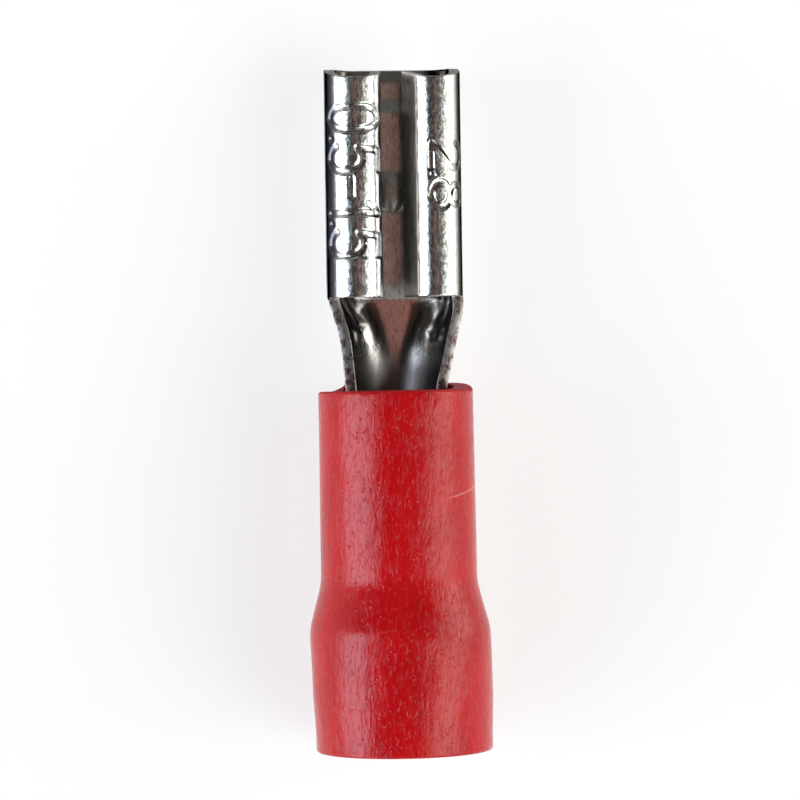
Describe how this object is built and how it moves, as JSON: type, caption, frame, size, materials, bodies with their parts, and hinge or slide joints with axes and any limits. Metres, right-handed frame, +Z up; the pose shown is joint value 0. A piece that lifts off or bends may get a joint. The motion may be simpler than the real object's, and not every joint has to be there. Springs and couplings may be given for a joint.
{
  "type": "female spade terminal",
  "caption": "Insulated female spade terminal: rolled receptacle for a flat tab on an open neck, with a crimp barrel for the wire inside a stepped red vinyl sleeve.",
  "frame": {"origin": "on the table, under the middle of the terminal's length, with the widest part of the vinyl sleeve touching the table", "axes": "+Y towards the mouth of the tab receptacle, -Y towards the mouth for the wire, +Z up with the rolls of the receptacle on top, X across"},
  "size_m": [0.005, 0.019, 0.005],
  "materials": {
    "tin_plated_brass": "bright tin plate",
    "bare_brass": "drawn, smooth",
    "red_vinyl": "soft satin"
  },
  "bodies": {
    "root": {"contact": "tin_plated_brass", "support_sleeve": "bare_brass", "insulating_sleeve": "red_vinyl"}
  },
  "joints": []
}
